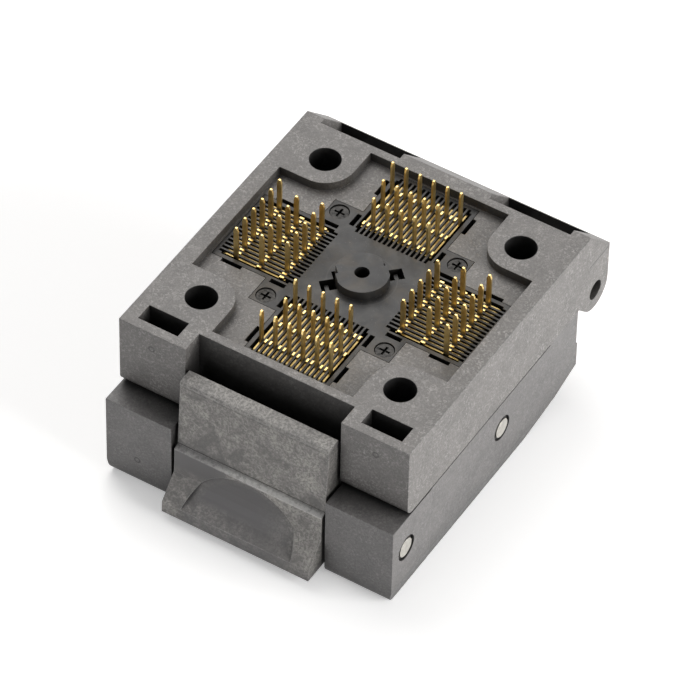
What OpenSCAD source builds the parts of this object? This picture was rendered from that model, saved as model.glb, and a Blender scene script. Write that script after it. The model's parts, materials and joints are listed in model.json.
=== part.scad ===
// Clamshell test socket for a quad flat package with 64 leads on a 0.5 mm pitch.
// It is modelled closed and lying on the outer face of its cover, with the board pins up.
// Millimetres. X runs along the latch edge, Y towards the hinge, Z out of the board side.
// The origin is the centre of the four mounting holes, on the plane that seats on the board.

/* [Base] */
// Wall between the recess and each side
side_wall = 1.8; // [1.6:0.05:3]
// Height of the base, from the board plane to its underside
base_h = 8.35; // [8.3:0.05:10]
// Bar between the recess and the latch notch
front_bar = 0.9; // [0.7:0.05:2]
// Radius of the base's lower front edge
base_edge_r = 0.9; // [0.3:0.1:1.5]
// Diameter of the mounting holes
hole_d = 3.1; // [2.6:0.1:3.4]
// Distance between the mounting holes, along X and along Y
hole_spacing = 21.5; // [21:0.1:22]
// Radius of the pads round the mounting holes
pad_r = 3.15; // [2.6:0.05:3.5]
// Floor between the insert's arms and the recess's edge
recess_margin = 0.25; // [0.15:0.05:0.6]
// Depth of the recess
recess_d = 1; // [0.6:0.05:1.4]
// Length of the two front keying slots
key_l = 4.35; // [3:0.05:4.6]
// Width of the keying slots
key_w = 1.95; // [1:0.05:2.1]
// Reach of a keying slot beyond the recess's side
key_in = 0.38; // [0.2:0.02:0.8]
// Wall in front of the keying slots
key_wall = 1; // [0.8:0.05:1.3]

/* [Hinge] */
// Hinge axis, behind the rear edge of the board face, where the 45 degree slope starts
hinge_back = 1.45; // [1.3:0.05:1.8]
// Clearance between a knuckle and the front wall of its pocket
knuckle_gap = 0.15; // [0.1:0.05:0.4]
// Side clearance of the knuckles and the springs
knuckle_side_gap = 0.15; // [0.1:0.05:0.3]
// Length of the hinge spring's leg above the axis
spring_leg_up = 3.2; // [2.8:0.1:3.6]
// Length of the hinge spring's leg inside the cover
spring_leg_in = 2; // [1.5:0.1:2.4]
// Hinge axis, above the base's underside
hinge_up = 0.15; // [0.05:0.05:0.4]
// Outer radius of the base's ears
ear_r = 2.3; // [2.1:0.05:2.5]
// Thickness of each outer ear
ear_w = 1.9; // [1.4:0.1:2.4]
// Width of the middle lug
lug_w = 9.8; // [8:0.1:11]
// Wall between the recess and the hinge pockets
pocket_wall = 0.85; // [0.7:0.05:1]
// Thickness of the wall behind the pockets
pocket_back_t = 0.55; // [0.4:0.05:0.7]
// Diameter of the hinge pin
hinge_pin_d = 2; // [1.6:0.1:2.2]
// Depth of the hinge pin's ends inside the ears
hinge_pin_inset = 0.9; // [0.3:0.1:1.2]
// Outer radius of the cover's knuckles
knuckle_r = 2; // [1.7:0.05:2.05]
// Thickness of a knuckle
knuckle_w = 1.9; // [1.4:0.1:2.2]
// Wire of the hinge springs
hinge_wire_d = 0.6; // [0.4:0.05:0.6]

/* [Latch] */
// Width of the latch notch in the base, and of the gap in the cover
notch_w = 16.8; // [14:0.1:17.4]
// Depth of the latch notch in the base
notch_d = 2.35; // [2.2:0.05:2.6]
// Side clearance of the latch in the notch
latch_side_gap = 0.35; // [0.15:0.05:0.6]
// Drop of the latch's top below the board plane
latch_top = 2.7; // [2.2:0.1:3.2]
// Drop of the catch ledge below the board plane
catch_drop = 6; // [5.7:0.05:6.3]
// Projection of the catch ledge into the notch
catch_l = 1.2; // [0.9:0.05:1.3]
// Height of the latch hook's nose
nose_h = 0.7; // [0.5:0.05:0.9]
// Gap between the nose and the ledge
nose_gap = 0.15; // [0.1:0.05:0.3]
// Diameter of the latch pin
latch_pin_d = 2; // [1.6:0.1:2.2]
// Radius of the thumb pad on the latch
thumb_r = 6.1; // [4:0.1:7]
// Depth of the thumb pad's upper edge
thumb_d = 0.35; // [0.2:0.05:0.5]
// Latch axis, below the cover's inner face
latch_pin_drop = 4; // [3.4:0.05:4.4]
// Wall of the latch round its pin
latch_boss_wall = 1.3; // [1.1:0.05:1.4]
// Reach of the latch's lip beyond the cover's front
lip_out = 2.2; // [1.4:0.1:2.6]
// Height of the lip's root above the latch's foot
lip_root = 3.6; // [3:0.1:4.2]
// Height of the lip's edge
lip_edge = 1.3; // [0.8:0.1:1.8]
// Height of the latch's foot above the cover's outer face
latch_foot = 0.9; // [0.6:0.05:1.2]
// Outer diameter of the latch springs
latch_coil_d = 2.4; // [1.8:0.1:2.6]
// Wire of the latch springs
latch_wire_d = 0.4; // [0.25:0.05:0.45]
// Distance of each latch spring from the middle
latch_coil_x = 4.5; // [3:0.1:6]

/* [Cover] */
// Height of the cover
cover_h = 9.8; // [9.6:0.1:11]
// Gap between the base and the cover, in front of the rear lip
cover_gap = 0.25; // [0.15:0.05:0.4]
// Ledge of the cover in front of the base
cover_ledge = 2.45; // [2.3:0.05:3]
// Start of the rear lip, from the middle
lip_y = 8.6; // [8:0.1:9.5]
// Gap above the rear lip
lip_gap = 0.05; // [0.03:0.01:0.1]
// Rear face of the cover, from the middle
cover_rear = 13.75; // [13.5:0.05:13.8]
// Radius of the cover's lower front edge
cover_edge_r = 1.2; // [0.4:0.1:2]
// Rise of the outer face at the rear
cover_rise = 2.5; // [1:0.1:3]
// Length of the front part of the cover's sides, which stands proud
proud_l = 6.75; // [5:0.05:8]
// Height of its step
proud_h = 0.05; // [0.03:0.01:0.1]
// Diameter of the counterbores round the pins' ends
counterbore_d = 2.7; // [2.4:0.1:3]
// Depth of the counterbores
counterbore_t = 0.35; // [0.2:0.05:0.6]
// Half length, along X, of the cavity for the presser
cavity_x = 11; // [10.5:0.1:12]
// Half length, along Y, of the cavity for the presser
cavity_y = 9.8; // [9.7:0.05:10]
// Thickness of the cover's outer wall under the cavity
cover_wall = 2.2; // [1.6:0.1:2.4]

/* [Presser] */
// Gap between the presser and its cavity's front and rear walls
presser_gap = 0.5; // [0.4:0.05:1]
// Gap between the presser and its cavity's side walls
presser_side_gap = 1.7; // [0.5:0.1:2]
// Drop of the presser's axis below the cover's inner face
presser_drop = 3.5; // [3.2:0.05:3.7]
// Diameter of the presser pin
presser_pin_d = 2; // [1.6:0.1:2.2]
// Width of the four bars that press the leads
bar_w = 0.7; // [0.5:0.05:0.75]
// Gap between a bar and the empty contacts
press_gap = 0.4; // [0.3:0.05:0.6]

/* [Contacts] */
// Distance between neighbouring contacts
pitch = 0.5; // [0.5:0.005:0.52]
// Contacts on each side
per_side = 16; // [13:3:16]
// Thickness of the contact sheet
contact_t = 0.2; // [0.15:0.01:0.22]
// Side clearance of a contact in its slot
contact_gap = 0.05; // [0.02:0.01:0.06]
// Radial position of the inner row of pins
row_inner = 6.43; // [6.35:0.01:6.6]
// Distance between the rows of pins
row_step = 2.5; // [2.4:0.01:2.54]
// Width of a pin
pin_w = 0.5; // [0.35:0.01:0.55]
// Height of the pins above the board plane
pin_out = 2.8; // [2:0.1:4]
// Depth of the contact strip under the insert's face
strip_sink = 0.15; // [0.1:0.01:0.3]
// Height of the two short stubs above the insert's face
stub_up = 0.08; // [0.05:0.01:0.15]
// Contact strip beyond the outer row of pins
strip_end = 1.57; // [1.5:0.01:1.7]
// Width of the contact's spring arm
arm_w = 0.7; // [0.6:0.01:0.75]
// Outer radius of the contact's bend
bend_r = 1.4; // [1.2:0.05:1.5]
// Radial position of the contact tips
tip_r = 5.85; // [5.8:0.01:5.9]

/* [Insert] */
// Half width of the insert's arms
arm_half = 4.55; // [4.5:0.01:4.7]
// End wall of the insert's arms, beyond the contact slots
arm_wall = 0.3; // [0.25:0.01:0.5]
// Flange round each screw's middle
flange_rim = 1.15; // [1.1:0.05:1.3]
// Thickness of the flange
flange_t = 1.6; // [1.2:0.1:2]
// Height of the insert
insert_h = 5.8; // [5.6:0.05:5.9]
// Clearance of the nest's plate inside the insert's core
nest_gap = 0.1; // [0.05:0.05:0.15]
// Clearance of the insert in the base
insert_gap = 0.05; // [0.03:0.01:0.08]
// Diameter of the centre boss
boss_d = 5.2; // [4:0.1:5.4]
// Diameter of the centre hole
boss_hole_d = 1.45; // [1:0.05:1.8]
// Distance of the screws from the middle, along X and along Y
screw_xy = 6.45; // [6.35:0.05:6.5]
// Diameter of the screw heads
screw_head_d = 1.8; // [1.6:0.05:1.85]
// Length of the screws under the head
screw_l = 3.5; // [2.5:0.1:3.8]
// Diameter of the screw threads
screw_d = 1; // [0.8:0.05:1.1]
// Half width of the seat for the package body
seat_half = 5.05; // [5.02:0.01:5.1]

/* [Hidden] */
$fn = 64;
eps = 0.01;
run_gap = 0.05;     // radial clearance of a turning fit
pin_gap = 0.02;     // radial clearance of a fixed pin
through = 60;       // longer than any cut

// Lengths from the middle outwards
strip_r1 = row_inner - pin_w / 2 - 0.18;
strip_r2 = row_inner + 2 * row_step + strip_end;
slot_w = contact_t + 2 * contact_gap;
slot_r1 = 5;
slot_r2 = strip_r2 + 0.3;
comb_half = (per_side - 1) / 2 * pitch;
arm_reach = slot_r2 + arm_wall;
flange_half = screw_xy + flange_rim;
nest_half = arm_half - nest_gap;
nest_recess = nest_half + 0.45;
recess_half = arm_reach + recess_margin;
body_w = 2 * (recess_half + side_wall);
base_front = recess_half + front_bar + notch_d;
key_x = recess_half + key_in - key_l / 2;

// Heights
underside = -base_h;
recess_z = -recess_d;
cover_top = underside - cover_gap;
cover_lip = underside - lip_gap;
cover_bottom = cover_top - cover_h;
insert_bottom = recess_z - insert_h;

// Hinge
pocket_y = recess_half + pocket_wall;
hinge_y = pocket_y + knuckle_gap + knuckle_r;
base_rear = hinge_y - hinge_back;
hinge_z = underside + hinge_up;
rear_face = hinge_y + ear_r;
slope_z = base_rear - rear_face;
pocket_x1 = lug_w / 2;
pocket_x2 = body_w / 2 - ear_w;
pocket_w = pocket_x2 - pocket_x1;
pocket_mid = (pocket_x1 + pocket_x2) / 2;
pocket_roof = hinge_z + knuckle_r;
coil_w = pocket_w - 2 * knuckle_w - 4 * knuckle_side_gap - hinge_wire_d - 0.1;
hinge_turns = floor(coil_w / hinge_wire_d / 1.15);
coil_r = ear_r - pocket_back_t - hinge_wire_d / 2 - 0.02;

// Latch
notch_y = -base_front + notch_d;
catch_y = notch_y - catch_l;
cover_front = -base_front - cover_ledge;
latch_pin_y = -base_front;
latch_pin_z = cover_top - latch_pin_drop;
latch_boss_r = latch_pin_d / 2 + latch_boss_wall;
gap_back = latch_pin_y + latch_boss_r + 0.4;
latch_w = notch_w - 2 * latch_side_gap;
latch_bottom = cover_bottom + latch_foot;
latch_plate_y = catch_y - 0.35;
tail_y = latch_pin_y + 0.4;
latch_coil_z = latch_bottom + 1.5;
latch_coil_end = gap_back + 2;

// Presser
presser_x = cavity_x - presser_side_gap;
presser_y = cavity_y - presser_gap;
presser_z = cover_top - presser_drop;
presser_top = cover_top - 0.4;
presser_bottom = cover_bottom + cover_wall + 0.6;

// Contacts, as radius and height in the plane of a contact
strip_z = recess_z - strip_sink;
strip_h = 0.7;
stub_z = recess_z + stub_up;
tip_z = insert_bottom - 0.3;

// Hooks that hold the nest in the insert
hook_xy = 2.27;
hook_ledge = 2;

// Window in the base's underside
window_half = tip_r + 0.45;
window_z = insert_bottom - insert_gap;

// ---------- helpers ----------
function arc(c, r, a1, a2, n = 8) =
    [for (i = [0:n]) let (a = a1 + (a2 - a1) * i / n) c + r * [cos(a), sin(a)]];
// Angle, seen from a circle's centre, of the tangent point of a line from p
function tangent_angle(c, r, p, side) =
    atan2(p.y - c.y, p.x - c.x) + side * acos(r / norm(p - c));
function unit(v) = v / norm(v);
function tangent(path, i) =
    unit(path[min(i + 1, len(path) - 1)] - path[max(i - 1, 0)]);

// Prism along X from points given as [y, z]
module yz_prism(w, points) {
    rotate([90, 0, 90]) linear_extrude(w, center = true) polygon(points);
}
module x_cylinder(d, l, y, z) {
    translate([0, y, z]) rotate([0, 90, 0]) cylinder(d = d, h = l, center = true);
}
// Box from its lowest to its highest corner
module box(low, high) { translate(low) cube(high - low); }
module corners(x, y) { for (sx = [-1, 1], sy = [-1, 1]) translate([sx * x, sy * y, 0]) children(); }
module both_sides(x) { for (s = [-1, 1]) translate([s * x, 0, 0]) children(); }
module four_sides() { for (a = [0:90:270]) rotate([0, 0, a]) children(); }
// Round wire along a path; ref is the direction the path turns about
module wire(path, d, ref, sides = 8) {
    n = len(path);
    rings = [for (i = [0:n - 1]) let (t = tangent(path, i), u = unit(cross(t, ref)), v = cross(t, u))
        for (j = [0:sides - 1]) path[i] + d / 2 * (cos(360 * j / sides) * u + sin(360 * j / sides) * v)];
    walls = [for (i = [0:n - 2], j = [0:sides - 1]) let (k = (j + 1) % sides)
        [i * sides + j, (i + 1) * sides + j, (i + 1) * sides + k, i * sides + k]];
    polyhedron(rings, concat(walls, [[for (j = [0:sides - 1]) j]],
        [[for (j = [sides - 1:-1:0]) (n - 1) * sides + j]]), convexity = 8);
}

// ---------- base ----------
ear_foot = [cover_rear + 0.05, underside];
function base_outline() = concat(
    [[-base_front, 0], [base_rear, 0], [rear_face, slope_z]],
    arc([hinge_y, hinge_z], ear_r, 0, tangent_angle([hinge_y, hinge_z], ear_r, ear_foot, 1), 16),
    [ear_foot],
    arc([base_edge_r - base_front, underside + base_edge_r], base_edge_r, 270, 180));

module mounting_holes() {
    corners(hole_spacing / 2, hole_spacing / 2) cylinder(d = hole_d, h = through, center = true);
}
// Raised pads round the mounting holes, in the corners of the recess
module pads() {
    c = hole_spacing / 2;
    for (mx = [0, 1], my = [0, 1]) mirror([mx, 0, 0]) mirror([0, my, 0])
        translate([0, 0, recess_z - 0.5]) linear_extrude(recess_d + 0.5)
            polygon(concat([[recess_half + 0.2, c - pad_r], [recess_half + 0.2, recess_half + 0.2],
                [c - pad_r, recess_half + 0.2]], arc([c, c], pad_r, 180, 270, 12)));
}
// Room for the insert: its arms, its flange and the window for the package
module insert_room() {
    a = arm_half + insert_gap;
    r = arm_reach + insert_gap;
    f = flange_half + insert_gap;
    box([-a, -r, window_z], [a, r, 0]);
    box([-r, -a, window_z], [r, a, 0]);
    box([-f, -f, recess_z - flange_t - insert_gap], [f, f, 0]);
    box([-window_half, -window_half, underside - 1], [window_half, window_half, window_z + eps]);
    four_sides() both_sides(a + 0.175) box([-0.225, -12.4, recess_z - 2], [0.225, -10.2, 0]);
    corners(screw_xy, screw_xy) translate([0, 0, recess_z - 1.5 - screw_l])
        cylinder(d = screw_d + 2 * pin_gap, h = screw_l + 1.5);
}
module hinge_pocket() {
    box([pocket_x1, pocket_y, -through], [pocket_x2, rear_face - pocket_back_t, 1]);
    box([pocket_x1, pocket_y, -through], [pocket_x2, rear_face + 1, pocket_roof]);
    box([pocket_x1, cover_rear - 1, -through], [pocket_x2, pocket_y + 1, underside]);
}
// Latch notch with the catch ledge left standing in its back wall
module latch_notch() {
    f = -base_front - 1;
    yz_prism(notch_w, [[f, 1], [notch_y, 1], [notch_y, -catch_drop], [catch_y + 0.2, -catch_drop],
        [catch_y, -catch_drop - 0.2], [catch_y, underside - 1], [f, underside - 1]]);
}
module base_body() {
    color([0.42, 0.41, 0.4]) difference() {
        union() {
            difference() {
                yz_prism(body_w, base_outline());
                box([-recess_half, -recess_half, recess_z], [recess_half, recess_half, 1]);
            }
            pads();
        }
        mounting_holes();
        insert_room();
        both_sides(key_x) box([-key_l / 2, -base_front + key_wall, -through],
            [key_l / 2, -base_front + key_wall + key_w, 1]);
        latch_notch();
        for (m = [0, 1]) mirror([m, 0, 0]) hinge_pocket();
        x_cylinder(hinge_pin_d + 2 * run_gap, through, hinge_y, hinge_z);
    }
}

// ---------- contact insert ----------
// Stepped openings that hold the nest's hooks, on one diagonal
module hook_slots() {
    for (m = [0, 1]) mirror([m, m, 0]) translate([hook_xy, hook_xy, insert_bottom - 1]) rotate(45) {
        box([-0.75, -0.68, 0], [0.35, 0.68, insert_h + 3]);
        box([0.3, -0.68, 1 + insert_h - hook_ledge], [0.75, 0.68, insert_h + 3]);
        translate([-0.84, 1.02, 0]) box([-0.17, -0.62, 1 + insert_h - hook_ledge], [0.17, 0.62, insert_h + 3]);
    }
}
module contact_insert() {
    color([0.2, 0.2, 0.2]) difference() {
        union() {
            box([-arm_half, -arm_reach, insert_bottom], [arm_half, arm_reach, recess_z]);
            box([-arm_reach, -arm_half, insert_bottom], [arm_reach, arm_half, recess_z]);
            box([-flange_half, -flange_half, recess_z - flange_t], [flange_half, flange_half, recess_z]);
            cylinder(d = boss_d, h = 2 * recess_d, center = true);
        }
        cylinder(d = boss_d + 1, h = 2);
        cylinder(d = boss_hole_d, h = through, center = true);
        hook_slots();
        four_sides() {
            for (i = [0:per_side - 1]) translate([(i * pitch - comb_half), 0, 0])
                box([-slot_w / 2, -slot_r2, -through], [slot_w / 2, -slot_r1, 0]);
            both_sides(comb_half + 0.2) box([-0.2, -slot_r2 + 0.4, -through], [0.2, -slot_r1 - 0.5, 0]);
            both_sides(arm_half + 0.07) box([-0.25, -flange_half + 0.45, -through], [0.25, -slot_r1 - 0.5, 0]);
        }
        corners(screw_xy, screw_xy) {
            cylinder(d = screw_d + 0.2, h = through, center = true);
            translate([0, 0, recess_z - 0.65]) cylinder(d = screw_head_d + 0.15, h = 2);
        }
        box([-nest_recess, -nest_recess, insert_bottom - 1], [nest_recess, nest_recess, insert_bottom + 0.5]);
    }
}
module screw() {
    head_z = recess_z - 0.12;
    difference() {
        union() {
            translate([0, 0, head_z - 0.5]) cylinder(d = screw_head_d, h = 0.5);
            translate([0, 0, head_z - 0.5 - screw_l]) cylinder(d = screw_d, h = screw_l + 0.1);
        }
        for (a = [0, 90]) rotate(a) box([-0.55, -0.11, head_z - 0.3], [0.55, 0.11, 1]);
    }
}
module insert_screws() { color([0.08, 0.08, 0.08]) corners(screw_xy, screw_xy) screw(); }

// ---------- package nest ----------
module device_nest() {
    top = insert_bottom + 0.45;
    seat = tip_z + 0.05;
    post_low = underside + 0.15;
    color([0.24, 0.24, 0.24]) difference() {
        union() {
            box([-nest_half, -nest_half, seat], [nest_half, nest_half, top]);
            for (mx = [0, 1], my = [0, 1]) mirror([mx, 0, 0]) mirror([0, my, 0])
                box([nest_half - 0.25, nest_half - 0.25, post_low],
                    [window_half - 0.2, window_half - 0.2, window_z - insert_gap]);
            for (m = [0, 1]) mirror([m, m, 0]) translate([hook_xy, hook_xy, 0]) rotate(45) {
                box([-0.1, -0.5, seat + 0.1], [0.3, 0.5, recess_z - 0.5]);
                box([-0.1, -0.5, recess_z - hook_ledge + 0.02], [0.6, 0.5, recess_z - 0.9]);
            }
        }
        box([-seat_half, -seat_half, post_low - 1], [seat_half, seat_half, seat]);
        cylinder(d = boss_hole_d + 1, h = through, center = true);
    }
}

// ---------- contacts ----------
// One side of the C-shaped contact: board strip with three stubs, outer bend, spring arm, tip.
// The stub in the contact's own row is drawn out into its board pin.
function stub(r, top, chamfer) = [[r - pin_w / 2, strip_z], [r - pin_w / 2, top - 3 * chamfer],
    [r - pin_w / 2 + chamfer, top], [r + pin_w / 2 - chamfer, top],
    [r + pin_w / 2, top - 3 * chamfer], [r + pin_w / 2, strip_z]];
function contact_outline(row) = let (
        bend_c = [strip_r2 - bend_r, tip_z + 2 + bend_r],
        tip_c = [tip_r, tip_z + 0.25])
    concat(
        [[strip_r1, strip_z - strip_h], [strip_r1, strip_z]],
        [for (k = [0:2]) each stub(row_inner + k * row_step,
            k == row ? pin_out : stub_z, k == row ? 0.14 : 0.03)],
        arc([strip_r2 - 0.5, strip_z - 0.5], 0.5, 90, 0, 4),
        arc(bend_c, bend_r, 0, -90, 8),
        [[tip_r + 1.05, tip_z + 1.15], [tip_r + 0.4, tip_z + 0.8]],
        arc(tip_c, 0.25, -20, -160, 5),
        [[tip_r - 0.25, tip_z + 1.1], [tip_r + 0.65, tip_z + 1.8]],
        arc(bend_c, bend_r - arm_w, -90, 0, 6),
        [[strip_r2 - arm_w, strip_z - strip_h]]);
module contact(row) {
    yz_prism(contact_t, [for (p = contact_outline(row)) [-p.x, p.y]]);
}
// Rows repeat every third contact: outer, inner, middle along each side
row_offset = [1, 2, 0];
module contacts(angle, row) {
    color([0.85, 0.66, 0.25]) rotate([0, 0, angle])
        for (i = [row_offset[row]:3:per_side - 1]) translate([i * pitch - comb_half, 0, 0]) contact(row);
}

// ---------- hinge ----------
module hinge_pin() {
    color([0.75, 0.75, 0.73]) x_cylinder(hinge_pin_d, body_w - 2 * hinge_pin_inset, hinge_y, hinge_z);
}
// Torsion spring: one leg up against the base's rear wall, the coil, and one leg forward into the cover
module hinge_spring(side) {
    c = [side * pocket_mid, hinge_y, hinge_z];
    turns = hinge_turns + 0.25;
    steps = turns * 12;
    coil = [for (i = [0:steps]) let (a = -360 * turns * i / steps)
        c + [coil_w * (i / steps - 0.5), coil_r * cos(a), coil_r * sin(a)]];
    color([0.7, 0.7, 0.68]) wire(concat([c + [-coil_w / 2, coil_r, spring_leg_up]], coil,
        [[c.x + coil_w / 2, cover_rear - spring_leg_in, hinge_z - coil_r]]), hinge_wire_d, [1, 0, 0]);
}

// ---------- cover ----------
function cover_outline() = concat(
    [[cover_front, cover_top], [lip_y, cover_top], [lip_y, cover_lip], [cover_rear, cover_lip],
        [cover_rear, cover_top - 4.3], [cover_rear + 0.25, cover_top - 4.4],
        [cover_rear + 0.25, cover_bottom + cover_rise], [5, cover_bottom]],
    arc([cover_front + cover_edge_r, cover_bottom + cover_edge_r], cover_edge_r, 270, 180));
module knuckle() {
    c = [hinge_y, hinge_z];
    foot = [cover_rear - 1, cover_top - 3.8];
    a = tangent_angle(c, knuckle_r, foot, 1);
    x_cylinder(2 * knuckle_r, knuckle_w, hinge_y, hinge_z);
    yz_prism(knuckle_w, [foot, c + knuckle_r * [cos(a), sin(a)], c, [hinge_y - knuckle_r * 0.7, cover_top - 0.3],
        [cover_rear - 1, cover_top - 0.3]]);
}
// Tapered band along each lower side edge
module side_taper() {
    inset = 0.35;
    band = 1.65;
    for (m = [0, 1]) mirror([m, 0, 0]) rotate([90, 0, 0]) linear_extrude(through, center = true)
        polygon([[body_w / 2, cover_bottom + band], [body_w / 2 + 1, cover_bottom + band],
            [body_w / 2 + 1, cover_bottom - 1], [body_w / 2 - inset * (1 + 1 / band), cover_bottom - 1]]);
}
module cover() {
    k1 = pocket_x1 + knuckle_side_gap + knuckle_w / 2;
    k2 = pocket_x2 - knuckle_side_gap - knuckle_w / 2;
    color([0.36, 0.35, 0.34]) difference() {
        union() {
            yz_prism(body_w, cover_outline());
            for (x = [k1, k2]) both_sides(x) knuckle();
        }
        side_taper();
        for (m = [0, 1]) mirror([m, 0, 0])
            box([body_w / 2 - proud_h, cover_front + proud_l, -through], [body_w, through, 1]);
        box([-notch_w / 2, cover_front - 1, -through], [notch_w / 2, gap_back, 1]);
        box([-cavity_x, -cavity_y, cover_bottom + cover_wall], [cavity_x, cavity_y, 1]);
        x_cylinder(hinge_pin_d + 2 * run_gap, through, hinge_y, hinge_z);
        x_cylinder(presser_pin_d + 2 * pin_gap, through, 0, presser_z);
        x_cylinder(latch_pin_d + 2 * pin_gap, through, latch_pin_y, latch_pin_z);
        both_sides(body_w / 2) {
            x_cylinder(counterbore_d, 2 * counterbore_t, 0, presser_z);
            x_cylinder(counterbore_d, 2 * counterbore_t, latch_pin_y, latch_pin_z);
        }
        both_sides(latch_coil_x) translate([0, gap_back - 1, latch_coil_z])
            rotate([-90, 0, 0]) cylinder(d = latch_coil_d + 0.6, h = latch_coil_end - gap_back + 1);
        both_sides(pocket_mid) box([-coil_w / 2 - 0.4, cover_rear - spring_leg_in - 0.3, hinge_z - coil_r - hinge_wire_d / 2 - 0.02],
            [coil_w / 2 + 0.4, cover_rear + 1, 1]);
    }
}

// ---------- presser ----------
module presser() {
    bar_r = tip_r - 0.15;
    color([0.3, 0.3, 0.3]) difference() {
        union() {
            box([-presser_x, -presser_y, presser_bottom], [presser_x, presser_y, presser_top]);
            four_sides() box([-comb_half - 0.2, -bar_r - bar_w / 2, presser_top - eps],
                [comb_half + 0.2, -bar_r + bar_w / 2, tip_z - press_gap]);
        }
        box([-seat_half, -seat_half, presser_top - 0.3], [seat_half, seat_half, presser_top + 0.1]);
        x_cylinder(presser_pin_d + 2 * run_gap, through, 0, presser_z);
        for (m = [0, 1]) mirror([0, m, 0]) translate([0, presser_y, presser_top])
            rotate([45, 0, 0]) cube([through, 0.7, 0.7], center = true);
        for (m = [0, 1]) mirror([m, 0, 0]) translate([presser_x, 0, presser_top])
            rotate([0, 45, 0]) cube([0.7, through, 0.7], center = true);
    }
}
module presser_pin() {
    color([0.85, 0.85, 0.82]) x_cylinder(presser_pin_d, body_w - 2 * proud_h, 0, presser_z);
}

// ---------- latch ----------
// Outer face of the latch, from its top down to its foot
lip = [cover_front - lip_out, latch_bottom + lip_edge];
latch_face = [
    [latch_pin_y - 1, -latch_top], [latch_pin_y - 1.35, -latch_top - 0.1],
    [latch_pin_y - 1.5, -latch_top - 0.35], [latch_pin_y - 1.42, -latch_top - 0.6],
    [latch_pin_y - 1.9, cover_top - 2.1], [cover_front, cover_top - 2.35],
    [cover_front - 0.1, latch_bottom + lip_root], lip, [lip.x - 0.05, latch_bottom]];
// Hollow of the thumb pad: a curve from its upper edge, deepest half way, out to the lip
thumb_top = [cover_front + thumb_d, cover_top - 2.3];
thumb_mid = [cover_front + thumb_d + 0.3, latch_bottom + lip_root - 1.1];
function thumb_curve(n = 8) = [for (i = [0:n]) let (t = i / n)
    (1 - t) * (1 - t) * thumb_top + 2 * t * (1 - t) * thumb_mid + t * t * lip];
module latch() {
    c = [latch_pin_y, latch_pin_z];
    nose_y = notch_y - 0.3;
    nose_z = nose_gap - catch_drop;
    color([0.38, 0.37, 0.36]) difference() {
        yz_prism(latch_w, concat(latch_face,
            [[tail_y - 0.3, latch_bottom], [tail_y, latch_bottom + 0.3]],
            arc(c, latch_boss_r, -80, 35, 16),
            [[latch_plate_y, cover_top - 1], [latch_plate_y, nose_z], [nose_y, nose_z],
                [nose_y, nose_z + nose_h], [latch_pin_y + 0.15, -latch_top]]));
        intersection() {
            yz_prism(latch_w, concat(thumb_curve(), [[lip.x - 1, lip.y], [lip.x - 1, thumb_top.y]]));
            translate([0, 0, latch_bottom + 0.2]) rotate([90, 0, 0])
                cylinder(r = thumb_r, h = through, center = true);
        }
        x_cylinder(latch_pin_d + 2 * run_gap, through, latch_pin_y, latch_pin_z);
    }
}
module latch_pin() {
    color([0.85, 0.85, 0.82]) x_cylinder(latch_pin_d, body_w - 2 * proud_h, latch_pin_y, latch_pin_z);
}
// Two compression springs that push the latch's tail out, so that its hook stays in
module latch_springs() {
    r = (latch_coil_d - latch_wire_d) / 2;
    start = latch_coil_end - latch_wire_d / 2 - 0.05;
    end = tail_y + latch_wire_d / 2 + 0.05;
    turns = 5;
    steps = turns * 10;
    color([0.7, 0.7, 0.68]) both_sides(latch_coil_x) wire([for (i = [0:steps]) let (a = 360 * turns * i / steps)
        [r * cos(a), start + (end - start) * i / steps, latch_coil_z + r * sin(a)]],
        latch_wire_d, [0, 1, 0], 6);
}

base_body();
contact_insert();
insert_screws();
device_nest();
contacts(0, 0);  // contacts_front_inner
contacts(0, 1);  // contacts_front_middle
contacts(0, 2);  // contacts_front_outer
contacts(90, 0);  // contacts_right_inner
contacts(90, 1);  // contacts_right_middle
contacts(90, 2);  // contacts_right_outer
contacts(180, 0);  // contacts_rear_inner
contacts(180, 1);  // contacts_rear_middle
contacts(180, 2);  // contacts_rear_outer
contacts(270, 0);  // contacts_left_inner
contacts(270, 1);  // contacts_left_middle
contacts(270, 2);  // contacts_left_outer
hinge_pin();
hinge_spring(-1);  // hinge_spring_left
hinge_spring(1);  // hinge_spring_right
cover();
presser();
presser_pin();
latch();
latch_pin();
latch_springs();
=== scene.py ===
"""Looks of a clamshell test socket for a quad flat package, lying on its cover with the pins up.

The shapes come from the CAD frame. This script gives them their materials, redraws the four
springs smoothly, and adds the floor, the lights and the camera. Materials and the studio are
written in mm, and the springs in Blender's metres.
"""
import json
import math

import bpy
from mathutils import Euler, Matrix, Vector


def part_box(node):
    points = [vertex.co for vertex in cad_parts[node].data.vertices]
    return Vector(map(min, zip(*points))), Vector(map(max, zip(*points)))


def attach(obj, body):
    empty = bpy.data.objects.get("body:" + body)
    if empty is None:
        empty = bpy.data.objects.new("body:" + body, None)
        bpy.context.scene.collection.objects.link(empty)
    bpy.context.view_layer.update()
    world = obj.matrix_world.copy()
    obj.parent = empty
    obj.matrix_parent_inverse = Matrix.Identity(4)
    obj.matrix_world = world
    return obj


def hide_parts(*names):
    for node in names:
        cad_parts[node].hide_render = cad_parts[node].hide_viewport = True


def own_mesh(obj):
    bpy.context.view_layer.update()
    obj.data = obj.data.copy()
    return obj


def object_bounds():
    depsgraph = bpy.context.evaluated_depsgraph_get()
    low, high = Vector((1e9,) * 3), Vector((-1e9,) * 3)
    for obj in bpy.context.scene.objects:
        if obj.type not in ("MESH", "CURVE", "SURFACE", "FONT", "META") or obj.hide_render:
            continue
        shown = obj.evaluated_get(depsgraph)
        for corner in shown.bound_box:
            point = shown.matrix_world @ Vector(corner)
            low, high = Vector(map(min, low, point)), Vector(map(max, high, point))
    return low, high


MM = 0.001
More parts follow.
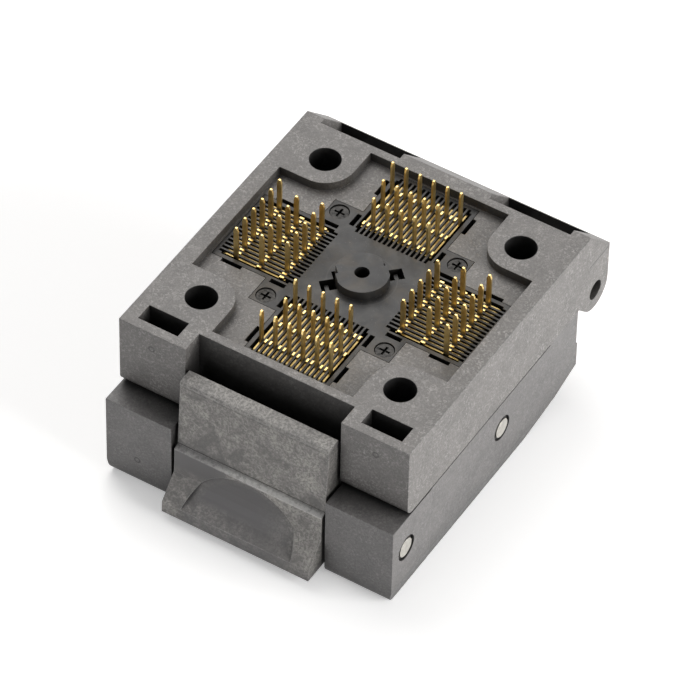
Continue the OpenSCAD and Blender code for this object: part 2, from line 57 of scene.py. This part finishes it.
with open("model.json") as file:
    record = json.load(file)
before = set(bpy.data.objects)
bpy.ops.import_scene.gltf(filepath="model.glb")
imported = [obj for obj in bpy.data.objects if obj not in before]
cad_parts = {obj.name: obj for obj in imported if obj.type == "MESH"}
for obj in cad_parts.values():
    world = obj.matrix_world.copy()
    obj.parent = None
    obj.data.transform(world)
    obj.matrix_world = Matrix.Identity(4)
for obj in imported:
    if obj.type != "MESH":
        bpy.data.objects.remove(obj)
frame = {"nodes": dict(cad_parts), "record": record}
NODES = frame["nodes"]
first_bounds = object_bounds()


def box_mm(node):
    """A node's lowest and highest corners at rest, in mm."""
    low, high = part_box(node)
    return Vector(low) / MM, Vector(high) / MM


def grey(level):
    return (level, level, level)


# ---------- node trees ----------
class Nodes:
    """A node tree, with short calls for the nodes it is built from."""

    def __init__(self, tree, output):
        self.tree = tree
        self.tree.nodes.clear()
        self.out = self.node(output)

    def node(self, kind, **settings):
        n = self.tree.nodes.new(kind)
        for key, value in settings.items():
            setattr(n, key, value)
        return n

    def put(self, socket, value):
        """Sets a socket from a number, a colour or another node's output."""
        if isinstance(value, bpy.types.NodeSocket):
            self.tree.links.new(value, socket)
        elif socket.type == "RGBA":
            socket.default_value = (*value, 1)
        else:
            socket.default_value = value

    def math(self, operation, a, b=0.0):
        n = self.node("ShaderNodeMath", operation=operation)
        self.put(n.inputs[0], a)
        self.put(n.inputs[1], b)
        return n.outputs[0]

    def times(self, first, *others):
        for other in others:
            first = self.math("MULTIPLY", first, other)
        return first

    def plus(self, a, b):
        return self.math("ADD", a, b)

    def minus(self, a, b):
        return self.math("SUBTRACT", a, b)

    def larger(self, a, b):
        return self.math("MAXIMUM", a, b)

    def ramp(self, value, start, end, first=0.0, last=1.0):
        """Goes from first to last while the value goes from start to end, and no further."""
        n = self.node("ShaderNodeMapRange")
        self.put(n.inputs["Value"], value)
        n.inputs["From Min"].default_value = start
        n.inputs["From Max"].default_value = end
        n.inputs["To Min"].default_value = first
        n.inputs["To Max"].default_value = last
        return n.outputs["Result"]

    def mix(self, share, a, b, blend="MIX"):
        n = self.node("ShaderNodeMix", data_type="RGBA", blend_type=blend)
        self.put(n.inputs["Factor"], share)
        self.put(n.inputs["A"], a)
        self.put(n.inputs["B"], b)
        return n.outputs["Result"]

    def seen(self):
        """1 where the camera sees it, mirrored or through glass too, and 0 where it only lights."""
        path = self.node("ShaderNodeLightPath")
        seen = self.larger(path.outputs["Is Camera Ray"], path.outputs["Is Glossy Ray"])
        return self.larger(seen, path.outputs["Is Transmission Ray"])


class Shader(Nodes):
    """A material, with patterns that are fixed to its piece. Lengths are in mm."""

    def __init__(self, name):
        self.material = bpy.data.materials.new(name)
        self.material.use_nodes = True
        super().__init__(self.material.node_tree, "ShaderNodeOutputMaterial")
        self.place = self.node("ShaderNodeTexCoord").outputs["Object"]

    def axes(self):
        """The place on the piece along X, Y and Z."""
        scaled = self.node("ShaderNodeVectorMath", operation="SCALE")
        self.put(scaled.inputs[0], self.place)
        scaled.inputs["Scale"].default_value = 1 / MM
        n = self.node("ShaderNodeSeparateXYZ")
        self.put(n.inputs[0], scaled.outputs[0])
        return n.outputs

    def noise(self, size, detail=3.0, rough=0.5, distortion=0.0, seed=(0, 0, 0)):
        """Noise from 0 to 1, in lumps about this wide."""
        shift = self.node("ShaderNodeMapping")
        self.put(shift.inputs["Vector"], self.place)
        shift.inputs["Location"].default_value = seed
        n = self.node("ShaderNodeTexNoise")
        self.put(n.inputs["Vector"], shift.outputs[0])
        n.inputs["Scale"].default_value = 1 / (size * MM)
        n.inputs["Detail"].default_value = detail
        n.inputs["Roughness"].default_value = rough
        n.inputs["Distortion"].default_value = distortion
        return n.outputs["Fac"]

    def distance(self, across, up, centre):
        """The distance to a centre in the plane of two axes."""
        a, b = self.minus(across, centre[0]), self.minus(up, centre[1])
        return self.math("SQRT", self.plus(self.times(a, a), self.times(b, b)))

    def line(self, value, at, half_width):
        """1 where the value is at a place, fading to 0 half a width away."""
        return self.ramp(self.math("ABSOLUTE", self.minus(value, at)), 0, half_width, 1, 0)

    def rings(self, across, up, centres, radius, half_width):
        """1 on thin circles round the centres, else 0."""
        total = 0.0
        for centre in centres:
            ring = self.line(self.distance(across, up, centre), radius, half_width)
            total = self.larger(total, ring)
        return total

    def discs(self, across, up, centres, radius):
        """1 inside the circles round the centres, else 0."""
        total = 0.0
        for centre in centres:
            near = self.math("LESS_THAN", self.distance(across, up, centre), radius)
            total = self.plus(total, near)
        return total

    def faces_front(self):
        """1 on faces that look towards the front of the piece, else 0."""
        normal = self.node("ShaderNodeNewGeometry").outputs["True Normal"]
        turned = self.node("ShaderNodeVectorTransform", vector_type="NORMAL",
                           convert_from="WORLD", convert_to="OBJECT")
        self.put(turned.inputs[0], normal)
        n = self.node("ShaderNodeSeparateXYZ")
        self.put(n.inputs[0], turned.outputs[0])
        return self.ramp(n.outputs["Y"], -0.3, -0.9)

    def rounded(self, radius):
        """The normal, as if the edges were rounded."""
        n = self.node("ShaderNodeBevel", samples=4)
        n.inputs["Radius"].default_value = radius * MM
        return n.outputs[0]

    def edges(self, rounded):
        """1 where the rounded normal leaves the face's own, else 0."""
        dot = self.node("ShaderNodeVectorMath", operation="DOT_PRODUCT")
        self.put(dot.inputs[0], rounded)
        self.put(dot.inputs[1], self.node("ShaderNodeNewGeometry").outputs["Normal"])
        return self.ramp(dot.outputs["Value"], 0.995, 0.85)

    def openness(self, reach):
        """1 in the open and towards 0 deep in slots and corners."""
        n = self.node("ShaderNodeAmbientOcclusion", samples=6)
        n.inputs["Distance"].default_value = reach * MM
        return n.outputs["AO"]

    def bump(self, height, depth, strength, normal):
        n = self.node("ShaderNodeBump")
        n.inputs["Strength"].default_value = strength
        n.inputs["Distance"].default_value = depth * MM
        self.put(n.inputs["Height"], height)
        self.put(n.inputs["Normal"], normal)
        return n.outputs[0]

    def shade(self, color, factor):
        """The colour times a 0 to 1 factor."""
        return self.mix(1.0, color, factor, blend="MULTIPLY")

    def finish(self, color, roughness, normal, metallic=0.0, specular=0.5):
        n = self.node("ShaderNodeBsdfPrincipled")
        self.put(n.inputs["Base Color"], color)
        self.put(n.inputs["Roughness"], roughness)
        self.put(n.inputs["Metallic"], metallic)
        self.put(n.inputs["Specular IOR Level"], specular)
        self.put(n.inputs["Normal"], normal)
        self.tree.links.new(n.outputs[0], self.out.inputs["Surface"])
        return self.material


# ---------- places on the socket that materials follow, in mm ----------
BASE_LOW, BASE_HIGH = box_mm("base_body")
LATCH_LOW, LATCH_HIGH = box_mm("latch")
LATCH_PIN_LOW, LATCH_PIN_HIGH = box_mm("latch_pin")

BOARD_HOLE_AT = 10.75
BOARD_HOLES = [(sx * BOARD_HOLE_AT, sy * BOARD_HOLE_AT) for sx in (-1, 1) for sy in (-1, 1)]
BOARD_HOLE_R = 1.55
# Ring marks on the front faces, as [x, z]
BASE_EJECTORS = [(-12.1, -2.1), (12.1, -2.1)]
COVER_EJECTORS = [(-12.2, -15.0)]
EJECTOR_R = 0.28
# The mould's parting line, on the outer sides of the hinge ears
EARS_FROM_Y = 15.4
PARTING_Z = -4.1
# The contacts' strips lie in slots, this far below the insert's face
STRIPS_BELOW_Z = box_mm("contact_insert")[1].z - 1.13
# The faint circle round the insert's boss
TIDE_MARK_R = 3.3
# The step across the latch, and the hollow for the thumb below it
STEP_Y = LATCH_LOW.y + 2.75
STEP_Z = (LATCH_PIN_LOW.z + LATCH_PIN_HIGH.z) / 2 + 1.65
HOLLOW_Z = LATCH_LOW.z + 0.2
HOLLOW_R = 6.4
TOOL_MARK_PITCH = 0.35
# Where the bead along the latch's top edge starts
BEAD_Z = LATCH_HIGH.z - 0.62


# ---------- materials ----------
def resin(name, dark, light, fleck, worn, rough, ejectors, board_holes=()):
    """Glass-filled resin: a mottled body with fine pale flecks, a grainy skin and worn edges, with
    painted shade in slots, corners and bores.

    ejectors are centres of ring marks, as [x, z]; board_holes are centres of holes, as [x, y].
    """
    s = Shader(name)
    x, y, z = s.axes()
    grain = s.noise(0.14, rough=0.75)
    mottle = s.ramp(s.noise(2.4, 5, 0.62), 0.36, 0.64)
    flecks = s.ramp(s.noise(0.27, 2, 0.7, 0.8, (0.3, 0.1, 0.2)), 0.48, 0.66, 0.0, 0.6)
    clouds = s.ramp(s.noise(1.7, 3, 0.6, 0.4, (0.7, 0.2, 0.5)), 0.38, 0.62, 0.35, 1.0)
    body = s.mix(mottle, dark, light)
    body = s.mix(s.ramp(grain, 0.34, 0.62, 0.55, 0.0), body, [0.45 * c for c in dark])
    body = s.mix(s.times(flecks, clouds), body, fleck)

    open_air = s.openness(5.0)
    normal = s.rounded(0.13)
    scuffs = s.ramp(s.noise(0.5, rough=0.7), 0.38, 0.6)
    bare_edge = s.times(s.edges(normal), s.ramp(open_air, 0.5, 0.8), scuffs)
    body = s.mix(s.times(bare_edge, 0.5), body, worn)

    # The front of the base, and the cover's, which stands further forward
    on_front = s.ramp(y, BASE_LOW.y + 0.2, BASE_LOW.y + 0.1)
    ring = s.times(s.rings(x, z, ejectors, EJECTOR_R, 0.13), on_front)
    body = s.mix(s.times(ring, 0.85), body, grey(0.02))
    if board_holes:
        on_ears = s.times(s.ramp(s.math("ABSOLUTE", x), BASE_HIGH.x - 0.05, BASE_HIGH.x),
                          s.ramp(y, EARS_FROM_Y, EARS_FROM_Y + 0.1))
        parting = s.times(s.line(z, PARTING_Z, 0.13), on_ears)
        body = s.mix(s.times(parting, 1.3), body, grey(0.06))
        # Painted shade: the bores of the board holes are darkened nearly to black, as light hardly
        # reaches down them
        inside = s.discs(x, y, board_holes, BOARD_HOLE_R + 0.03)
        body = s.mix(s.times(inside, 0.85), body, grey(0.012))

    # Painted shade: the inner walls that look at the latch are darkened, as light hardly reaches
    # them
    shaded_inner_walls = s.times(s.ramp(y, BASE_LOW.y + 0.2, BASE_LOW.y + 0.3), s.ramp(z, 0.0, -0.1))
    body = s.shade(body, s.ramp(s.times(s.faces_front(), shaded_inner_walls), 0, 1, 1.0, 0.45))
    # Painted shade: darker deep in slots, corners and gaps between parts, where light hardly
    # reaches
    body = s.shade(body, s.ramp(open_air, 0.28, 0.88, 0.06, 1.0))
    skin = s.bump(s.minus(grain, s.times(ring, 3.0)), 0.014, 0.7, normal)
    return s.finish(body, s.ramp(s.noise(0.6), 0.3, 0.7, *rough), skin)


def latch_resin(name):
    """The latch: scuffed resin, with a smooth dark hollow for the thumb below its step."""
    s = Shader(name)
    x, y, z = s.axes()
    from_centre = s.distance(x, z, (0, HOLLOW_Z))
    below_step = s.ramp(y, STEP_Y + 0.15, STEP_Y)
    hollow = s.times(s.ramp(from_centre, HOLLOW_R, HOLLOW_R - 1.4), s.ramp(x, 6.0, 1.0, 0.35, 1.0))
    left = s.times(s.ramp(x, -1.5, -3.5), s.ramp(z, STEP_Z - 3.2, STEP_Z - 1.8))
    smooth = s.times(s.larger(hollow, left), below_step)

    # Scuffs everywhere but in the hollow, and again on its lip
    grit = s.ramp(s.noise(0.27, 2, 0.75, 0.6), 0.42, 0.6)
    worn_areas = s.ramp(s.noise(3.0, 6, 0.72, 0.8), 0.38, 0.62, 0.12, 1.0)
    lip = s.times(s.ramp(y, LATCH_LOW.y + 1.6, LATCH_LOW.y + 0.9), s.ramp(x, 4.0, 0.0), 0.9)
    kept = s.larger(s.minus(1.0, smooth), lip)
    rubbed = s.times(s.plus(s.times(grit, 0.7), 0.3), worn_areas, kept)
    body = s.mix(rubbed, (0.135, 0.13, 0.127), (0.47, 0.45, 0.42))
    body = s.mix(s.times(smooth, 0.35), body, (0.1, 0.096, 0.104))

    # The pale bead along the top edge, and the dark line under it
    bead = s.ramp(z, BEAD_Z, BEAD_Z + 0.12, 0, 0.3)
    body = s.mix(s.times(bead, grit), body, (0.44, 0.43, 0.41))
    body = s.mix(s.times(s.line(z, BEAD_Z - 0.04, 0.12), 0.4), body, grey(0.05))

    # The step: painted shade at its root, rubbed on its shelf, and bright along its edge, which is
    # partly wear and partly a painted highlight
    patchy = s.ramp(s.noise(0.4, 3, 0.7, seed=(0.2, 0.4, 0.6)), 0.38, 0.56, 0.4, 1.0)
    root_shade = s.line(z, STEP_Z + 0.33, 0.09)
    shelf = s.times(s.line(z, STEP_Z - 0.2, 1.1), s.ramp(x, -2.5, 2.5), below_step, grit)
    edge = s.times(s.line(z, STEP_Z + 0.03, 0.24), below_step, s.ramp(x, -4.0, 0.0, 0.3, 1.0))
    body = s.mix(s.times(root_shade, 1.2), body, grey(0.03))
    body = s.mix(s.times(shelf, 0.6), body, (0.44, 0.42, 0.39))
    body = s.mix(s.times(edge, patchy, 1.8), body, (0.7, 0.69, 0.67))

    open_air = s.openness(4.0)
    normal = s.rounded(0.16)
    bare_edge = s.times(s.edges(normal), s.ramp(open_air, 0.45, 0.75), patchy)
    body = s.mix(s.times(bare_edge, 0.8), body, (0.5, 0.49, 0.475))
    # Painted shade: darker deep in slots and corners, where light hardly reaches
    body = s.shade(body, s.ramp(open_air, 0.25, 0.8, 0.08, 1.0))
    turns = s.times(from_centre, 2 * math.pi / TOOL_MARK_PITCH)
    tool_marks = s.times(s.math("SINE", turns), smooth)
    skin = s.bump(s.plus(s.times(rubbed, 1.2), s.times(tool_marks, 0.1)), 0.012, 0.6, normal)
    return s.finish(body, s.ramp(smooth, 0, 1, 0.58, 0.42), skin)


def insert_resin(name):
    """Smooth black resin with faint tide marks and a faint circle round the boss, and painted shade
    in its corners and slots.
    """
    s = Shader(name)
    x, y, _ = s.axes()
    stain = s.ramp(s.noise(2.6, 3, 0.55, 0.6), 0.46, 0.64)
    haze = s.ramp(s.noise(3.4, 4, 0.6, 0.8, (0.5, 0.3, 0.1)), 0.5, 0.7, 0, 0.6)
    dust = s.ramp(s.noise(0.17, 2, 0.6), 0.66, 0.76, 0, 0.6)
    ring = s.rings(x, y, [(0, 0)], TIDE_MARK_R, 0.12)
    body = s.mix(stain, (0.036, 0.036, 0.037), (0.064, 0.056, 0.047))
    body = s.mix(haze, body, (0.088, 0.087, 0.085))
    body = s.mix(dust, body, (0.22, 0.215, 0.21))
    body = s.mix(s.times(ring, 0.3), body, (0.12, 0.118, 0.115))

    open_air = s.openness(2.0)
    normal = s.rounded(0.06)
    bare_edge = s.times(s.edges(normal), s.ramp(open_air, 0.5, 0.8))
    body = s.mix(s.times(bare_edge, 0.45), body, (0.17, 0.167, 0.163))
    # Painted shade: darker deep in slots and corners, such as round the foot of the boss
    body = s.shade(body, s.ramp(open_air, 0.3, 0.9, 0.1, 1.0))
    roughness = s.ramp(s.noise(1.5), 0.3, 0.7, 0.34, 0.48)
    skin = s.bump(s.noise(0.4, 2), 0.006, 0.4, normal)
    return s.finish(body, roughness, skin, specular=0.32)


def metal(name, dark, light, rough, lump=0.4, depth=0.003, deep=0.35, shade_and_tarnish_below=None):
    """Bare or plated metal with a fine uneven skin.

    It darkens to deep in slots, which is painted shade, and to a third below a given height, which
    is painted shade and tarnish together.
    """
    s = Shader(name)
    lumps = s.noise(lump, 3, 0.6)
    body = s.mix(s.ramp(lumps, 0.3, 0.7), dark, light)
    # Painted shade: darker deep in slots
    body = s.shade(body, s.ramp(s.openness(1.2), 0.1, 0.7, deep, 1.0))
    # Painted shade and tarnish together below the given height
    if shade_and_tarnish_below is not None:
        _, _, z = s.axes()
        body = s.shade(body, s.ramp(z, shade_and_tarnish_below, shade_and_tarnish_below + 0.1, 0.34, 1.0))
    skin = s.bump(lumps, depth, 0.4, s.rounded(0.04))
    return s.finish(body, s.ramp(lumps, 0.3, 0.7, *rough), skin, metallic=1.0)


def make_materials():
    return {
        "base_resin": resin(
            "base_resin", dark=(0.15, 0.143, 0.138), light=(0.2, 0.19, 0.183),
            fleck=(0.42, 0.405, 0.39), worn=(0.46, 0.45, 0.44), rough=(0.42, 0.56),
            ejectors=BASE_EJECTORS, board_holes=BOARD_HOLES),
        "cover_resin": resin(
            "cover_resin", dark=(0.14, 0.135, 0.134), light=(0.18, 0.173, 0.17),
            fleck=(0.28, 0.27, 0.263), worn=(0.4, 0.39, 0.38), rough=(0.38, 0.5),
            ejectors=COVER_EJECTORS),
        "latch_resin": latch_resin("latch_resin"),
        "insert_resin": insert_resin("insert_resin"),
        "contact_gold": metal(
            "contact_gold", dark=(0.76, 0.54, 0.19), light=(0.9, 0.68, 0.3), rough=(0.3, 0.38),
            lump=0.7, depth=0.001, deep=0.6, shade_and_tarnish_below=STRIPS_BELOW_Z),
        "pin_steel": metal(
            "pin_steel", dark=(0.46, 0.44, 0.4), light=(0.68, 0.66, 0.6), rough=(0.26, 0.42)),
        "spring_steel": metal(
            "spring_steel", dark=(0.45, 0.44, 0.42), light=(0.65, 0.64, 0.62), rough=(0.28, 0.4)),
        "black_screw": metal(
            "black_screw", dark=(0.01, 0.01, 0.01), light=(0.05, 0.048, 0.046),
            rough=(0.25, 0.4), lump=0.3, depth=0.02, deep=0.9),
    }


# ---------- springs, in metres ----------
WIRE_SIDES = 12
HINGE_WIRE_R = 0.3 * MM
HINGE_TURNS = 5.25
HINGE_STEPS = 24
# The turns drawn on each body overlap in the middle of the coil
BASE_TURNS = (0, 3.1)
COVER_TURNS = (2.7, HINGE_TURNS)
LATCH_WIRE_R = 0.2 * MM
LATCH_TURNS = 5
LATCH_STEPS = 20


def tube(name, path, radius, across, steel):
    """Round wire through the points; across is the direction that the path turns about."""
    verts, faces = [], []
    across = Vector(across)
    sides, last = WIRE_SIDES, len(path) - 1
    for i, p in enumerate(path):
        t = (path[min(i + 1, last)] - path[max(i - 1, 0)]).normalized()
        u = t.cross(across).normalized()
        v = t.cross(u)
        for k in range(sides):
            a = 2 * math.pi * k / sides
            verts.append(p + radius * (math.cos(a) * u + math.sin(a) * v))
    for i in range(last):
        here, there = i * sides, (i + 1) * sides
        for k in range(sides):
            n = (k + 1) % sides
            faces.append((here + k, here + n, there + n, there + k))
    faces.append(tuple(range(sides))[::-1])
    faces.append(tuple(last * sides + k for k in range(sides)))
    mesh = bpy.data.meshes.new(name)
    mesh.from_pydata(verts, [], faces)
    mesh.validate()
    for polygon in mesh.polygons:
        polygon.use_smooth = len(polygon.vertices) == 4
    mesh.materials.append(steel)
    o = bpy.data.objects.new(name, mesh)
    bpy.context.scene.collection.objects.link(o)
    return o


def hinge_spring(node, steel):
    """The torsion spring in two lengths of one coil, which slide past each other as it opens."""
    low, high = (Vector(c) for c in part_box(node))
    pin_low, pin_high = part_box("hinge_pin")
    wire = HINGE_WIRE_R
    axis_y, axis_z = (pin_low.y + pin_high.y) / 2, (pin_low.z + pin_high.z) / 2
    coil_r = high.y - wire - axis_y
    x0, x1 = low.x + wire, high.x - wire

    def point(turn):
        a = -2 * math.pi * turn
        return Vector((x0 + (x1 - x0) * turn / HINGE_TURNS,
                       axis_y + coil_r * math.cos(a), axis_z + coil_r * math.sin(a)))

    def coil(first, last):
        n = round((last - first) * HINGE_STEPS)
        return [point(first + (last - first) * i / n) for i in range(n + 1)]

    leg_up = Vector((x0, axis_y + coil_r, high.z))
    leg_forward = Vector((x1, low.y, axis_z - coil_r))
    on_base = tube(node + "_base_end", [leg_up] + coil(*BASE_TURNS), wire, (1, 0, 0), steel)
    on_cover = tube(node + "_cover_end", coil(*COVER_TURNS) + [leg_forward], wire, (1, 0, 0), steel)
    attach(on_base, "base")
    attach(on_cover, "cover")
    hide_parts(node)


def latch_springs(steel):
    """The latch's two compression springs, drawn at rest on the cover; the real ones shorten as its
    tail is pressed in.
    """
    low, high = (Vector(c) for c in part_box("latch_springs"))
    wire = LATCH_WIRE_R
    radius = (high.z - low.z) / 2 - wire
    steps = LATCH_TURNS * LATCH_STEPS
    for side in (-1, 1):
        centre_x = side * (high.x - radius - wire)
        path = []
        for i in range(steps + 1):
            a = 2 * math.pi * i / LATCH_STEPS
            path.append(Vector((centre_x + radius * math.cos(a),
                                high.y - wire + (low.y - high.y + 2 * wire) * i / steps,
                                (low.z + high.z) / 2 + radius * math.sin(a))))
        name = "latch_spring_left" if side < 0 else "latch_spring_right"
        spring = tube(name, path, wire, (0, 1, 0), steel)
        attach(spring, "cover")
        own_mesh(spring)
        if side > 0:
            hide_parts("latch_springs")


# ---------- the studio ----------
FLOOR_SIZE = 3000
FLOOR_GLOW = 0.34
WORLD_LIGHT, WORLD_SEEN = 0.2, 1.0
CAMERA_AT = (188.66, -317.58, 380.52)
CAMERA_TURN = (43.362, -0.976, 31.891)
CAMERA_SENSOR, CAMERA_LENS = 36, 294.5
CAMERA_NEAR, CAMERA_FAR = 50, 5000


def make_floor(z):
    """White where the camera sees it, a little greyer as a light, and with its shadows."""
    bpy.ops.mesh.primitive_plane_add(size=FLOOR_SIZE * MM, location=(0, 0, z))
    floor = bpy.context.object
    floor.name = "floor"
    s = Shader("floor_white")
    seen = s.seen()
    diffuse = s.node("ShaderNodeBsdfDiffuse")
    s.put(diffuse.inputs["Color"], s.mix(seen, grey(0.8), grey(0.97)))
    glow = s.node("ShaderNodeEmission")
    s.put(glow.inputs["Strength"], s.times(seen, FLOOR_GLOW))
    add = s.node("ShaderNodeAddShader")
    s.tree.links.new(diffuse.outputs[0], add.inputs[0])
    s.tree.links.new(glow.outputs[0], add.inputs[1])
    s.tree.links.new(add.outputs[0], s.out.inputs["Surface"])
    floor.data.materials.append(s.material)


def make_world():
    world = bpy.data.worlds.new("studio")
    bpy.context.scene.world = world
    world.use_nodes = True
    s = Nodes(world.node_tree, "ShaderNodeOutputWorld")
    back = s.node("ShaderNodeBackground")
    s.put(back.inputs["Color"], grey(1))
    s.put(back.inputs["Strength"], s.ramp(s.seen(), 0, 1, WORLD_LIGHT, WORLD_SEEN))
    s.tree.links.new(back.outputs[0], s.out.inputs["Surface"])


def lamp(name, place, target, size, power, color):
    """A rectangular lamp that looks at the target."""
    data = bpy.data.lights.new(name, "AREA")
    data.shape = "RECTANGLE"
    data.size, data.size_y = size[0] * MM, size[1] * MM
    data.energy = power
    data.color = color
    o = bpy.data.objects.new(name, data)
    o.location = Vector(place) * MM
    o.rotation_euler = (Vector(target) - Vector(place)).to_track_quat("-Z", "Y").to_euler()
    bpy.context.scene.collection.objects.link(o)


def make_lamps():
    lamp("softbox_top", place=(-240, 190, 440), target=(0, 0, -5), size=(420, 420),
         power=1.75, color=(1, 0.985, 0.965))
    lamp("fill_right", place=(520, 60, 170), target=(0, 0, -10), size=(360, 300),
         power=3.2, color=(1, 0.99, 0.98))
    lamp("fill_front", place=(-160, -520, 150), target=(0, 0, -10), size=(360, 260),
         power=0.3, color=(0.96, 0.97, 1))


def make_camera():
    data = bpy.data.cameras.new("camera")
    data.sensor_width = CAMERA_SENSOR
    data.lens = CAMERA_LENS
    data.clip_start, data.clip_end = CAMERA_NEAR * MM, CAMERA_FAR * MM
    o = bpy.data.objects.new("camera", data)
    o.location = Vector(CAMERA_AT) * MM
    o.rotation_euler = Euler([math.radians(a) for a in CAMERA_TURN])
    bpy.context.scene.collection.objects.link(o)
    bpy.context.scene.camera = o


# ---------- the scene ----------
materials = make_materials()
slots = {row["node"]: row["material_slot"] for row in frame["record"]["subparts"]}
for name, piece in NODES.items():
    piece.data.materials.clear()
    piece.data.materials.append(materials[slots[name]])
hinge_spring("hinge_spring_left", materials["spring_steel"])
hinge_spring("hinge_spring_right", materials["spring_steel"])
latch_springs(materials["spring_steel"])

make_floor(first_bounds[0].z)
make_world()
make_lamps()
make_camera()
bpy.context.scene.view_settings.view_transform = "Standard"
